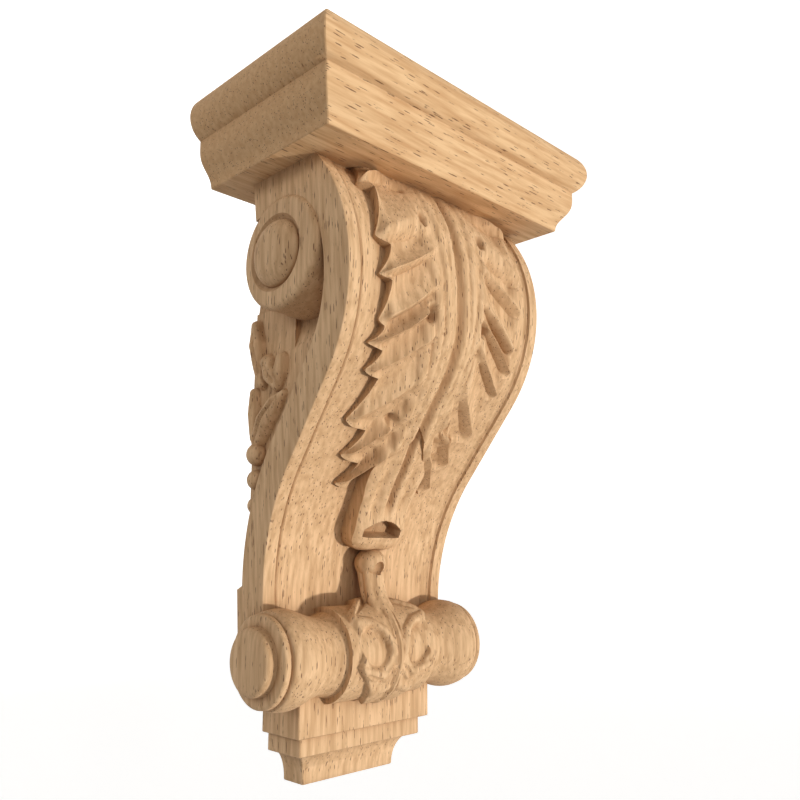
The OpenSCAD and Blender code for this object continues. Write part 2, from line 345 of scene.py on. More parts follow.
# %% Volutes
VOL_FLAT, BOSS_R, GROOVE_IN = 18.2, 12.8, 1.5
BOSS_Y = VOL_Y - 1.7
VOL_Z = float(height(VOL_DROP))
ring_face = float(half_width(VOL_DROP)) + 2.2
# the groove and the boss as (radius, out from the ring's face)
groove = [(0, -GROOVE_IN), (BOSS_R - 1.0, -GROOVE_IN), (BOSS_R - 0.3, -1.4), (BOSS_R + 0.6, -0.8),
          (BOSS_R + 1.7, 0.3), (BOSS_R + 1.7, 2), (0, 2)]
boss = [(0, 3.3), (4, 3.3), (6.6, 3.15), (8.0, 2.8), (9.4, 2.15), (10.6, 1.25), (11.6, 0.2),
        (12.3, -0.8), (12.3, -1.9), (BOSS_R - 1, -4), (0, -4)]
soft = VOL_R - VOL_FLAT
rim = [(VOL_FLAT + soft * math.cos(a), ring_face - 2.4 + 2.4 * math.sin(a))
       for a in np.linspace(0, math.pi / 2, 9)]
ring = [(0, 34), (VOL_R + 1.2, 34), (VOL_R + 0.6, GROUND_HALF), (VOL_R, GROUND_HALF + 3)] + rim
ring += [(BOSS_R + 4.2, ring_face - 0.02), (0, ring_face - 0.1)]
for side in SIDES:
    joined(body, turned("ring", ring, -VOL_Y, VOL_Z, 112, side), 'UNION')
    for part, profile, way in (("groove", groove, 'DIFFERENCE'), ("boss", boss, 'UNION')):
        profile = [(r, ring_face + out) for r, out in profile]
        joined(body, turned(part, profile, -BOSS_Y, VOL_Z, 112, side), way)

# %% Roll
ROLL_R, WAIST_R, BUTTON_R = 16.9, 13.6, 11.2
ROLL_HALF = 49.5
WRAP_Z = float(height(ROLL_DROP))
# the button at the end, the flat disc, and a groove where the disc meets the bulge
half_profile = [(0, 53.2), (5, 53.2), (8.6, 53.0), (10.2, 52.6), (10.9, 52.0), (BUTTON_R, 51.2),
                (BUTTON_R, 49.4), (BUTTON_R + 0.2, ROLL_HALF - 0.8), (12.0, ROLL_HALF - 0.7),
                (13.8, ROLL_HALF - 0.8), (14.9, 48.5), (15.4, 48.1), (15.5, 47.6), (15.5, 46.4),
                (15.2, 46.0), (14.7, 45.7), (15.2, 45.4), (16.0, 45.1)]
for x in np.arange(44.4, 13.0, -1.1):
    if x > 26:
        bulge = (ROLL_R - WAIST_R) * float(ramp(26, 40, x))
        r = WAIST_R + bulge - 0.5 * float(ramp(41, 45, x))
    else:
        r = WAIST_R + 2.9 * float(ramp(0, 11, 26 - x))
    half_profile.append((r, float(x)))
half_profile += [(16.6, 9.0), (16.6, 4.0)]
roll_profile = half_profile + [(r, -x) for r, x in reversed(half_profile)]
joined(body, turned("roll", roll_profile, -ROLL_Y, WRAP_Z, 144), 'UNION')


# %% Foot
def three_sided(name, profile, half, depth, soft=0.35):
    """A moulding of (out, z) points returned round three sides of a block against the wall."""
    loops = []
    for out, z in profile:
        w, d = half + out, depth + out
        left = [(-w, 0, z), (-w, -d + soft, z), (-w + soft, -d, z)]
        loops.append(left + [(-x, y, z) for x, y, z in reversed(left)])
    return bar(name, loops)


FOOT_HALF, FOOT_DEPTH = 32.0, 20.9
COVE_IN, COVE_W, COVE_H = -10.1, 5.6, 10.8
band_z = float(height(232.2))
foot_profile = [(-10.4, FOOT_Z), (COVE_IN, FOOT_Z + 0.4)]
foot_profile += [(COVE_IN + COVE_W * (1 - math.cos(a)), FOOT_Z + 0.4 + COVE_H * math.sin(a))
                 for a in np.linspace(0.12, math.pi / 2, 14)]
foot_profile += [(-3.0, FOOT_Z + 11.2), (-2.7, FOOT_Z + 11.5), (-2.7, band_z), (-0.3, band_z),
                 (0, band_z + 0.3), (0, float(height(211.3)))]
joined(body, three_sided("foot", foot_profile, FOOT_HALF, FOOT_DEPTH), 'UNION')

# %% [markdown]
# ## The acanthus leaf
# The leaf is laid out as a carver draws it: the rib first, then the tip and the notch of each
# leaflet.  Between two leaflets the surface is swept along the same flow, low where it comes
# out from under the leaflet above and rising to its own lip, so the leaflets overlap like
# shingles.  Leaflets modelled one by one would meet in seams; one sheet has none.  Near the
# border every tip turns down to the ground.

# %% Laying out the leaflets
# where it leaves the rib, tip across, tip along, notch across above it, bend
leaflets = [(-48, 38, -46, 37, 0.9), (-47, 41, -30, 36.5, 2.4), (-34, 39.3, -7, 35.6, 0.5),
            (-30, 38, 5, 34.4, 0.5), (-18, 35.6, 20, 33.9, 0.55), (-9, 37.5, 27.5, 33.8, 0.6),
            (0, 34.6, 37, 31.8, 0.6), (14, 32.6, 57, 28.6, 0.68), (32, 27.2, 70.5, 22.8, 0.85),
            (52, 23.8, 82, 18.5, 1.0)]
# height of the leaf beside its rib and of its edge, by the length s
crown = np.array([(-45, 3.6), (-19, 3.6), (-7, 2.9), (5, 3.4), (18, 4.9), (43, 4.9), (61, 6.0),
                  (76, 7.2), (92, 7.4)])
edge_rise = np.array([(-40, 3.0), (10, 2.7), (50, 1.7), (85, 1.4)])
LIP_AT, HOOK_AT = 0.84, 0.88
LIP_RISE, GROUND_RISE = 1.45, 0.5


def leaf_row(upper, lower, f, across):
    """(x, s, h) across the leaf at the share f of the way from one leaflet to the next."""
    t = np.abs(across)
    if f < HOOK_AT:
        hook = (f / HOOK_AT) ** 1.8
    else:
        hook = 1 - 0.9 * ((f - HOOK_AT) / (1 - HOOK_AT)) ** 2
    edge_x = lower[3] + (lower[1] - lower[3]) * hook
    edge_s = upper[2] + 0.4 + (lower[2] - upper[2] - 0.4) * f
    root = upper[0] + (lower[0] - upper[0]) * f
    bend = upper[4] + (lower[4] - upper[4]) * f
    s = root + (edge_s - root) * t ** bend
    top = np.interp(s, crown[:, 0], crown[:, 1])
    edge = np.interp(s, edge_rise[:, 0], edge_rise[:, 1])
    spread = ramp(0.24, 0.66, t)
    dome = edge + (top - edge) * (1 - t ** 1.7)
    scooped = 1.7 + 0.3 * t + 0.9 * (1 - ramp(5, 35, s))
    trough = dome - scooped * spread * (1 - ramp(0.88, 1.0, t))
    lip = dome + LIP_RISE * spread * (1 - 0.15 * t)
    lip = GROUND_RISE + (lip - GROUND_RISE) * (1 - ramp(0.90, 1.0, t) ** 1.3)
    # a scoop that rises to the lip, then turns over and drops to the next leaflet
    if f < LIP_AT:
        swell = (f / LIP_AT) ** 1.7
    else:
        swell = math.cos(math.pi / 2 * (f - LIP_AT) / (1 - LIP_AT)) ** 0.8
    return np.stack([edge_x * across, s, trough + (lip - trough) * swell], axis=1)


across = np.linspace(-1, 1, 129)
shares = list(np.linspace(0, 0.78, 12)) + [0.81, 0.84, 0.87, 0.9, 0.93, 0.96, 0.985, 1.0]
leaf = np.array([leaf_row(upper, lower, f, across)
                 for upper, lower in zip(leaflets[:-1], leaflets[1:]) for f in shares])
print(f"leaf of {leaf.shape[0]} rows by {leaf.shape[1]}")

# %% Rib, pipes and eyes
# an eye: across, along, half width, half length, depth
eyes = [(16, -22, 2.2, 3.2, 3.0), (14, 12, 1.9, 3.4, 3.0), (14.5, 51.5, 2.3, 2.4, 3.2),
        (20, -37, 3.0, 2.0, 2.0)]
# the pipes run down from each eye beside the rib, with a hollow on their outer side
pipes = [[(11, -44, 1.6, 1.0), (9.5, -25, 1.8, 1.2), (7.5, -5, 1.8, 1.2), (6.2, 20, 1.6, 1.0),
          (5.2, 45, 1.4, 0.8)],
         [(17, -17, 2.4, 1.3), (14, -6, 2.2, 1.4), (11, 8, 2.0, 1.3), (8.8, 28, 1.8, 1.1),
          (7.0, 50, 1.5, 0.8)],
         [(15, 17, 2.3, 1.3), (13, 28, 2.2, 1.4), (10.5, 43, 2.0, 1.2), (8.0, 62, 1.7, 1.0),
          (6.4, 78, 1.4, 0.6)],
         [(15, 56, 2.2, 1.3), (12.5, 64, 2.0, 1.3), (9.8, 76, 1.6, 1.0), (8.4, 86, 1.2, 0.6)]]
RIB_DEPTH, RIB_HALF, PIPE_SHARE = 2.3, 2.7, 0.75
x, s, h = leaf[..., 0], leaf[..., 1], leaf[..., 2]
u = np.abs(x)
h = h - RIB_DEPTH * (1 - ramp(0, RIB_HALF, u)) + 0.5 * np.exp(-((u - 3.6) / 1.3) ** 2)
h = h + PIPE_SHARE * strokes_height(u, s, pipes)
for eye_x, eye_s, wide, long, deep in eyes:
    r = np.sqrt(((u - eye_x) / wide) ** 2 + ((s - eye_s) / long) ** 2)
    h = h - deep * (1 - ramp(0.3, 1.25, r))
# right under the cap the leaf stands full, so that no gap is left at the joint
full = GROUND_RISE + 3.1 * (1 - ramp(33, 38, u))
h = h + (full - h) * (1 - ramp(-43, -35, s))
h = np.maximum(h + hand_marks(u, s, 0.16), 0.3)

# %% Joining the leaf to the block
BURIED = -4.0
depth, z = on_scroll(s, h)
face = np.stack([x, -depth, np.minimum(z, CAP_UNDER)], axis=2)
depth, z = on_scroll(s, BURIED)
back = np.stack([x * 0.985, -depth, np.minimum(z, CAP_UNDER - 0.01)], axis=2)
joined(body, slab("leaf", face, back), 'UNION')

# %% [markdown]
# ## The curled tip
# At its end the leaf turns forward and over.  Seen from the front this is a rounded tongue
# with a deep arched gouge under it, and below the gouge the turned-over end, cut off straight.
# A truly rolled sheet would hide most of itself, so the tongue is a slab of relief like the
# leaf, with the gouge taken out of its height.

# %% Tip
# half width and height of the tongue by the length s
tongue_half = np.array([(48, 2), (58, 7), (66, 11.5), (72, 13.8), (78, 13.4), (84, 12.4),
                        (90, 12.4), (99, 12.6), (101.5, 12.0), (103.8, 10.4), (105.3, 7.5)])
tongue_rise = np.array([(48, 3.2), (58, 4.6), (66, 5.9), (77, 7.0), (87, 7.8), (92, 8.6),
                        (96, 9.2), (99, 8.8), (102, 8.0), (104.4, 6.8), (105.3, 5.2)])
MOUTH_DEPTH, ARCH_S, ARCH_RISE, MOUTH_HALF = 6.3, 91.6, 4.0, 9.2
tip_s = np.concatenate([np.arange(48, 91, 0.9), np.arange(91, 105.4, 0.35)])
tip_t = np.sin(np.linspace(-math.pi / 2, math.pi / 2, 67))
s, t = np.meshgrid(tip_s, tip_t, indexing="ij")
x = np.interp(s, tongue_half[:, 0], tongue_half[:, 1]) * t
u = np.abs(x)
rib = 2.6 * (1 - ramp(0, 2.4, u)) * (1 - 0.8 * ramp(84, 91, s))
flute = 1.5 * np.exp(-((u - 6.6) / 2.0) ** 2) * ramp(60, 72, s) * (1 - ramp(88, 94, s))
arch = ARCH_S + ARCH_RISE * np.clip(u / MOUTH_HALF, 0, 1) ** 2
mouth = ramp(0, 0.8, s - arch) * (1 - ramp(98.6, 99.1, s)) * (1 - ramp(8.4, 9.4, u))
h = np.interp(s, tongue_rise[:, 0], tongue_rise[:, 1]) * (1 - 0.30 * np.abs(t) ** 3.5)
h = h - rib - flute - MOUTH_DEPTH * mouth + hand_marks(u, s, 0.12)
depth, z = on_scroll(s, h)
face = np.stack([x, -depth, z], axis=2)
depth, z = on_scroll(s, BURIED)
joined(body, slab("tip", face, np.stack([x, -depth, z], axis=2)), 'UNION')

# %% [markdown]
# ## The small leaf on the roll
# A second, small leaf climbs from under the roll over its front, and ends above it in a knob
# with a drilled eye.  Its lobes are drawn as strokes on the unrolled barrel of the roll, each
# stroke a rounded ridge, and the drawing is then wrapped round the barrel.  That is easier to
# draw, and to change, than a leaf modelled in its bent place.

# %% Lobes on the barrel
WRAP_R = 17.0
PER_DEGREE = WRAP_R * math.pi / 180
PLATE, PLATE_UNDER, LOBES_BACK = 1.9, 0.35, 8


def lobe(side, *marks):
    """A stroke on one side of the barrel: (x, degrees above the front, half width, rise)."""
    return [(side * x, degrees * PER_DEGREE, width, rise) for x, degrees, width, rise in marks]


# half width of the leaf by the angle round the barrel
spread_at = np.array([(-84, 5), (-72, 8), (-52, 10.5), (-30, 13.5), (-18, 17), (-11, 18.6),
                      (0, 17), (30, 17), (43, 18.6), (58, 17.6), (72, 12), (84, 8.5), (100, 7),
                      (112, 6)])
lobes = [lobe(1, (0, 92, 3.0, 0.9), (0, 40, 2.4, 0.9), (0, 0, 2.2, 1.1), (0, -40, 2.0, 0.9),
              (0, -80, 1.6, 0.4))]
veins = []
for side in SIDES:
    lobes.append(lobe(side, (6, 84, 1.8, 0.7), (11, 66, 2.2, 0.9), (17.5, 46, 1.0, 0.8)))
    lobes.append(lobe(side, (15.5, 42, 1.8, 0.9), (10.5, 37, 2.0, 1.2), (5.6, 26, 2.0, 1.1),
                      (2.6, 4, 1.6, 0.9)))
    lobes.append(lobe(side, (2, -14, 1.6, 0.9), (6, -23, 2.0, 1.2), (12, -19, 2.0, 1.2),
                      (18, -11, 1.0, 0.8)))
    lobes.append(lobe(side, (3.5, -38, 1.8, 0.8), (8.5, -44, 1.8, 0.8), (11.5, -34, 1.0, 0.6)))
    veins.append(lobe(side, (4, 80, 0.9, 1.0), (10, 64, 1.0, 1.2), (16, 49, 0.5, 0.6)))
    veins.append(lobe(side, (2, -12, 0.9, 1.0), (7, -27, 1.0, 1.1), (15, -18, 0.5, 0.5)))
    veins.append(lobe(side, (1.4, 90, 0.6, 0.8), (1.2, 30, 0.55, 0.8), (1.0, -60, 0.4, 0.6)))
x, angle = np.meshgrid(np.arange(-21, 21.01, 0.45), np.arange(-84, 112.1, 1.5), indexing="xy")
u, around = np.abs(x), angle * PER_DEGREE
wide = np.interp(angle, spread_at[:, 0], spread_at[:, 1])
h = PLATE * (1 - ramp(-0.9, 0.1, u - wide)) * ramp(-84, -72, angle)
# the bare, lens-shaped piece of barrel between the upper and the lower lobe
lens = np.hypot((u - 10.8) / 6.6, (angle - 10 - 0.9 * (u - 10.8)) / 24)
h = h * ramp(0.86, 1.04, lens)
h = h + strokes_height(x, around, lobes) * (h > 0.9)
h = h - strokes_height(x, around, veins) * (h > 0.6) + hand_marks(x, angle * 0.3, 0.08)
lobe_r = WRAP_R - PLATE_UNDER + h
rad = np.radians(angle)
face, back = [np.stack([x, -ROLL_Y - r * np.cos(rad), WRAP_Z + r * np.sin(rad)], axis=2)
              for r in (lobe_r, LOBES_BACK)]
joined(body, slab("lobes", face, back), 'UNION')


# %% Stem and knob
def rod(name, path, around=28):
    """A fluted stem swept down the middle: (depth, drop, half width, half thickness)."""
    path = np.array(path, dtype=float)
    fine = np.linspace(0, len(path) - 1, 8 * len(path))
    path = np.stack([np.interp(fine, range(len(path)), path[:, c]) for c in range(4)], axis=1)
    loops = []
    for i, (depth, drop, wide, thick) in enumerate(path):
        before, after = path[max(i - 1, 0)], path[min(i + 1, len(path) - 1)]
        lean = math.atan2(after[0] - before[0], after[1] - before[1])
        loop = []
        for a in np.linspace(0, 2 * math.pi, around, endpoint=False):
            flute = 1 - 0.2 * abs(math.sin(3 * (a - math.pi / 2))) ** 5
            out = thick * math.sin(a) * flute
            loop.append((wide * math.cos(a) * flute, -(depth + out * math.cos(lean)),
                         float(height(drop)) + out * math.sin(lean)))
        loops.append(loop)
    return bar(name, loops)


def ball(name, centre, radii, rings=20, around=32):
    """A closed ball or egg."""
    profile = [(math.sin(a), -math.cos(a)) for a in np.linspace(0, math.pi, rings)]
    shell = turned(name, profile, 0, 0, around)
    for vertex in shell.data.vertices:
        vertex.co = Vector([c * MM + v * r for c, v, r in zip(centre, vertex.co, radii)])
    return shell


stem = [(20, 172, 5.2, 4.8), (21.6, 177, 5.2, 4.6), (22.8, 183, 5.2, 4.2), (24.6, 187.5, 5.5, 4.2),
        (27.8, 191.4, 6.0, 3.8), (31.0, 195, 5.4, 3.4), (33.2, 199.5, 4.2, 3.0),
        (34.2, 205, 3.2, 2.6), (34.0, 210, 2.4, 2.0)]
joined(body, rod("stem", stem), 'UNION')
knob_y, knob_z = -21.2, float(height(173.4))
joined(body, ball("knob", (0, knob_y, knob_z), (5.9, 6.0, 5.6)), 'UNION')
joined(body, ball("eye", (0, knob_y - 6.2, knob_z - 2.0), (2.5, 3.4, 2.6)), 'DIFFERENCE')

# %% [markdown]
# ## The husk on each side
# On each sunk side hangs a husk: a leaf, a heart-shaped pair of petals, a bud and a string of
# berries that grow smaller.  The petals are strokes on the flat ground, which is quick to
# draw and joins cleanly.  The berries repeat by a rule, so a Geometry Nodes tree strings them,
# with the number, the first size and the shrinking as inputs.

# %% Petals
# strokes as (distance from the wall, drop, half width, rise), and the cuts along them
petals = [[(1.5, 85, 2.4, 3.2), (3.0, 93, 3.8, 4.8), (4.5, 101, 3.2, 4.0), (6.5, 108, 2.4, 3.2)],
          [(9.4, 100.4, 3.3, 3.8), (12.2, 105.5, 3.9, 4.6), (15.6, 110.8, 1.8, 3.0)],
          [(18.2, 100.6, 2.9, 3.6), (17.8, 105.0, 3.3, 4.4), (16.0, 110.8, 1.8, 3.0)],
          [(2.0, 111, 2.2, 3.2), (2.4, 119, 3.0, 4.0), (3.2, 128, 2.6, 3.4)],
          [(19.5, 113.2, 1.6, 2.6), (15.0, 116.8, 3.8, 4.6), (9.5, 122.5, 4.5, 5.2),
           (5.4, 129, 3.4, 4.2), (4.0, 133, 2.2, 3.0)]]
cuts = [[(3.0, 90, 0.6, 0.8), (5.6, 104, 0.8, 1.2)],
        [(10.0, 101, 0.5, 0.5), (14.8, 108.5, 0.7, 1.0)],
        [(17.8, 102, 0.5, 0.5), (16.4, 108.5, 0.7, 1.0)],
        [(17.5, 115, 0.6, 0.9), (11, 121, 0.9, 1.6), (5.4, 129.5, 0.5, 0.9)]]
out_y, drop = np.meshgrid(np.arange(0, 24.4, 0.55), np.arange(80, 136, 0.6), indexing="xy")
h = strokes_height(out_y, drop, petals)
h = h - strokes_height(out_y, drop, cuts) * (h > 1)
petal_x = GROUND_HALF - 0.3 + h + hand_marks(out_y, drop, 0.08)
buried_x = np.full_like(petal_x, GROUND_HALF - 5)
for side in SIDES:
    face, back = [np.stack([side * x, -out_y, height(drop)], axis=2) for x in (petal_x, buried_x)]
    joined(body, slab("petals", face, back), 'UNION')


# %% Nodes for the berries
def add_node(tree, kind, links=None, **settings):
    """Add a node, set its properties or plain socket values, and link its inputs."""
    new = tree.nodes.new(kind)
    for name, value in settings.items():
        if name in new.inputs:
            new.inputs[name].default_value = value
        else:
            setattr(new, name, value)
    for name, source in (links or {}).items():
        tree.links.new(source, new.inputs[name])
    return new


def berry_tree():
    """A string of berries down -Z, each smaller than the one above."""
    tree = bpy.data.node_groups.new("berry string", 'GeometryNodeTree')
    tree.interface.new_socket("Geometry", in_out='OUTPUT', socket_type='NodeSocketGeometry')
    for name, kind in (("Count", 'NodeSocketInt'), ("First radius", 'NodeSocketFloat'),
                       ("Spacing", 'NodeSocketFloat'), ("Shrink", 'NodeSocketFloat'),
                       ("Wood", 'NodeSocketMaterial')):
        tree.interface.new_socket(name, in_out='INPUT', socket_type=kind)
    given = add_node(tree, 'NodeGroupInput').outputs
    down = add_node(tree, 'ShaderNodeMath', {0: given["Spacing"]}, operation='MULTIPLY')
    down.inputs[1].default_value = -1
    step = add_node(tree, 'ShaderNodeCombineXYZ', {"Z": down.outputs[0]})
    line = add_node(tree, 'GeometryNodeMeshLine', {"Count": given["Count"],
                                                   "Offset": step.outputs[0]})
    index = add_node(tree, 'GeometryNodeInputIndex').outputs[0]
    share = add_node(tree, 'ShaderNodeMath', {0: given["Shrink"], 1: index}, operation='POWER')
    size = add_node(tree, 'ShaderNodeMath', {0: share.outputs[0], 1: given["First radius"]},
                    operation='MULTIPLY')
    berry = add_node(tree, 'GeometryNodeMeshUVSphere', Segments=28, Rings=18, Radius=1)
    strung = add_node(tree, 'GeometryNodeInstanceOnPoints',
                      {"Points": line.outputs[0], "Instance": berry.outputs[0],
                       "Scale": size.outputs[0]})
    real = add_node(tree, 'GeometryNodeRealizeInstances', {"Geometry": strung.outputs[0]})
    wood = add_node(tree, 'GeometryNodeSetMaterial', {"Geometry": real.outputs[0],
                                                      "Material": given["Wood"]})
    add_node(tree, 'NodeGroupOutput', {0: wood.outputs[0]})
    return tree


berries = berry_tree()
print("berry tree of", len(berries.nodes), "nodes")

# %% Stringing the berries
BERRY_SIZES = {"Count": 3, "First radius": 4.3 * MM, "Spacing": 9.3 * MM, "Shrink": 0.87}
BERRY_OUT, BERRY_Y, BERRY_DROP = 0.4, 4.4, 134.2


def berry_string(side):
    """One evaluated string of berries, set at its place beside the wall."""
    holder = bpy.data.objects.new("berries", bpy.data.meshes.new("berries"))
    bpy.context.scene.collection.objects.link(holder)
    maker = holder.modifiers.new("string", 'NODES')
    maker.node_group = berries
    for item in berries.interface.items_tree:
        if item.name in BERRY_SIZES:
            maker[item.identifier] = BERRY_SIZES[item.name]
    bpy.context.view_layer.update()
    depsgraph = bpy.context.evaluated_depsgraph_get()
    mesh = bpy.data.meshes.new_from_object(holder.evaluated_get(depsgraph))
    holder.modifiers.remove(maker)
    holder.data = mesh
    place = Vector((side * (GROUND_HALF + BERRY_OUT), -BERRY_Y, float(height(BERRY_DROP))))
    for vertex in mesh.vertices:
        vertex.co += place * MM
    mesh.materials.clear()
    return holder


for side in SIDES:
    joined(body, berry_string(side), 'UNION')

# %% [markdown]
# ## The cap
# The cap is a separate block, glued on.  From below its profile is a plain upright face, an
# ogee that steps outwards, a small fillet and a large bullnose.  It could be a box with a
# bevel, but a bevel knows only one profile, so the moulding function of the foot is used.

# %% Cap
BULL_R, OGEE_OUT, OGEE_H, FILLET_H = 10.0, 5.5, 14.2, 3
cap_profile = [(-0.3, CAP_UNDER), (0, CAP_UNDER + 0.3)]
for t in np.linspace(0.04, 1, 18):
    cap_profile.append((OGEE_OUT * (t - 0.13 * math.sin(2 * math.pi * t)),
                        CAP_UNDER + OGEE_H * (1 - (1 - t) ** 0.85)))
cap_profile.append((OGEE_OUT, CAP_UNDER + OGEE_H + FILLET_H))
for a in np.radians(np.linspace(-59, 90, 30)):
    cap_profile.append((0.3 + BULL_R * math.cos(a), TOP_Z - BULL_R + BULL_R * math.sin(a)))
cap = three_sided("moulded_cap", cap_profile, CAP_HALF, CAP_DEPTH)
print("cap", len(cap.data.polygons), "faces")

# %% [markdown]
# ## Finishing the surfaces
# Where shells were joined, a few points lie almost on top of each other and would upset the
# shading, so they are merged first.  Then flat and round stretches are shaded smoothly, and
# an edge stays crisp where two faces meet at more than a set angle, as a chisel leaves it.
# A bevel on every edge would do this too, but it can't run over such fine triangles.

# %% Smooth shading with crisp edges
MERGE = 0.001 * MM
BODY_CRISP, CAP_CRISP = math.radians(42), math.radians(28)
for piece, crisp in ((body, BODY_CRISP), (cap, CAP_CRISP)):
    work = bmesh.new()
    work.from_mesh(piece.data)
    bmesh.ops.remove_doubles(work, verts=work.verts, dist=MERGE)
    bmesh.ops.triangulate(work, faces=[f for f in work.faces if len(f.verts) > 4])
    open_edges = sum(not edge.is_manifold for edge in work.edges)
    work.to_mesh(piece.data)
    work.free()
    piece.data.shade_smooth()
    piece.data.set_sharp_from_angle(angle=crisp)
    triangles = sum(len(f.vertices) - 2 for f in piece.data.polygons)
    print(f"{piece.name}: {triangles} triangles, {open_edges} open edges")

# %% [markdown]
# ## Raw rubberwood
# Rubberwood is a pale tan hardwood with long, open, darker pores and little figure.  It is
# left as it comes from the cutter: sanded on the flats, and fuzzy in the hollows, where the
# cutter crosses the grain.  To the eye that is a matte surface with dark dashes along the
# grain, dots where the grain is cut across, and browner hollows; the hollows are also given
# painted shade, a darker colour wherever an occlusion test finds them sheltered.  Image textures
# would need unwrapping; patterns on object coordinates run through the whole block, as real grain
# does.

# %% Colours
def wood_colour(text):
    """An sRGB hex colour as linear values."""
    parts = [int(text[i:i + 2], 16) / 255 for i in (1, 3, 5)]
    linear = [c / 12.92 if c <= 0.04045 else ((c + 0.055) / 1.055) ** 2.4 for c in parts]
    return tuple(linear) + (1.0,)


# pale wood, deep wood, the colour of the hollows (their fuzz, and painted shade) and pores
CAP_COLOURS = [wood_colour(c) for c in ("#e3bb8b", "#c89b6b", "#966a41", "#694429")]
BODY_COLOURS = [wood_colour(c) for c in ("#e3bb8e", "#c39a6e", "#91663d", "#694429")]
print("pale wood, linear:", [round(c, 3) for c in BODY_COLOURS[0]])

# %% The wood
# size of each pattern in millimetres: across the grain, along it, and a shift
GROWTH, STREAK, PATCH = (9, 120, 0.0), (0.9, 26, 3.1), (5, 14, 7.7)
# real fibres are finer; they are drawn this coarse so that the fuzz shows
FIBRE = (0.22, 2.0, 1.9)
# a real pore is about 0.3 mm wide and 3 to 5 mm long; it fills the middle third of its cell
PORE_CELL = (0.8, 10.5, 5.3)
PORE_EDGE, PORE_DARK = (0.13, 0.24), 0.8
# how far the occlusion test looks when it paints shade into the hollows
HOLLOW_REACH = 6.5 * MM
FUZZ_HEIGHT = 0.12 * MM


def raw_rubberwood(name, colours, along):
    """Raw rubberwood with its grain along one axis: matte, with pore dashes and end grain."""
    # the third colour darkens the hollows: it stands for their fuzz, and it is also painted shade
    pale, deep, hollow_fuzz_and_shade, pore = colours
    wood = bpy.data.materials.new(name)
    wood.use_nodes = True
    tree = wood.node_tree
    shader = tree.nodes["Principled BSDF"]
    shader.inputs["Roughness"].default_value = 0.78
    shader.inputs["IOR"].default_value = 1.5
    shader.inputs["Specular IOR Level"].default_value = 0.25
    place = add_node(tree, 'ShaderNodeTexCoord').outputs["Object"]

    def pattern(kind, sizes, **settings):
        """A texture stretched along the grain to the given sizes."""
        across_mm, along_mm, shift = sizes
        stretch = add_node(tree, 'ShaderNodeMapping', {"Vector": place})
        scale = [1 / (across_mm * MM)] * 3
        scale[along] = 1 / (along_mm * MM)
        stretch.inputs["Scale"].default_value = scale
        stretch.inputs["Location"].default_value = (shift, shift * 0.7, shift * 1.3)
        return add_node(tree, kind, {"Vector": stretch.outputs[0]}, **settings).outputs

    def ramped(value, low, high, to_low=0.0, to_high=1.0):
        turn = add_node(tree, 'ShaderNodeMapRange', {"Value": value}, clamp=True)
        names = ("From Min", "From Max", "To Min", "To Max")
        for socket, bound in zip(names, (low, high, to_low, to_high)):
            turn.inputs[socket].default_value = bound
        return turn.outputs[0]

    def mixed(share, first, second):
        blend = add_node(tree, 'ShaderNodeMix', {0: share}, data_type='RGBA')
        for socket, colour in ((6, first), (7, second)):
            if isinstance(colour, tuple):
                blend.inputs[socket].default_value = colour
            else:
                tree.links.new(colour, blend.inputs[socket])
        return blend.outputs[2]

    growth = pattern('ShaderNodeTexNoise', GROWTH, Detail=3.0, Roughness=0.55)[0]
    streak = pattern('ShaderNodeTexNoise', STREAK, Detail=2.0, Roughness=0.5)[0]
    patch = pattern('ShaderNodeTexNoise', PATCH, Detail=2.0)[0]
    pores = pattern('ShaderNodeTexVoronoi', PORE_CELL, Scale=1.0)["Distance"]
    fibre = pattern('ShaderNodeTexNoise', FIBRE, Detail=2.0)[0]
    tone = mixed(ramped(growth, 0.36, 0.66), pale, deep)
    tone = mixed(ramped(streak, 0.5, 0.78, 0, 0.35), tone, deep)
    # where the surface faces along the grain, its cut ends show: darker and dotted
    normal = add_node(tree, 'ShaderNodeNewGeometry').outputs["Normal"]
    facing = add_node(tree, 'ShaderNodeSeparateXYZ', {"Vector": normal}).outputs[along]
    turned_to = add_node(tree, 'ShaderNodeMath', {0: facing}, operation='ABSOLUTE').outputs[0]
    tone = mixed(ramped(turned_to, 0.25, 0.95, 0, 0.55), tone, deep)
    # painted shade: where an ambient occlusion test finds the surface sheltered, it is darkened
    # towards the hollow colour; this stands partly for the fuzz and dust that the cutter leaves in
    # hollows, and partly for the shade that falls there
    shelter = add_node(tree, 'ShaderNodeAmbientOcclusion', samples=8, Distance=HOLLOW_REACH)
    tone = mixed(ramped(shelter.outputs["AO"], 0.4, 0.93, 0.62, 0.0), tone, hollow_fuzz_and_shade)
    # pores come thicker in some patches than in others
    crowd = ramped(patch, 0.36, 0.64, -0.13, 0.10)
    shifted = add_node(tree, 'ShaderNodeMath', {0: pores, 1: crowd}, operation='SUBTRACT')
    open_pore = ramped(shifted.outputs[0], *PORE_EDGE, 1.0, 0.0)
    tone = mixed(ramped(open_pore, 0, 1, 0, PORE_DARK), tone, pore)
    tree.links.new(tone, shader.inputs["Base Color"])
    # raised fibres and sunk pores catch the light
    fuzz = add_node(tree, 'ShaderNodeMath', {0: fibre, 1: open_pore}, operation='SUBTRACT')
    bump = add_node(tree, 'ShaderNodeBump', {"Height": fuzz.outputs[0]}, Strength=0.55,
                    Distance=FUZZ_HEIGHT)
    tree.links.new(bump.outputs[0], shader.inputs["Normal"])
    print(name, len(tree.nodes), "nodes")
    return wood


# %% Wood on both pieces, and their places in the frame
X_AXIS, Z_AXIS = 0, 2
for piece in (cap, body):
    piece.data.materials.clear()
cap.data.materials.append(raw_rubberwood("raw rubberwood, cap", CAP_COLOURS, X_AXIS))
body.data.materials.append(raw_rubberwood("raw rubberwood, body", BODY_COLOURS, Z_AXIS))

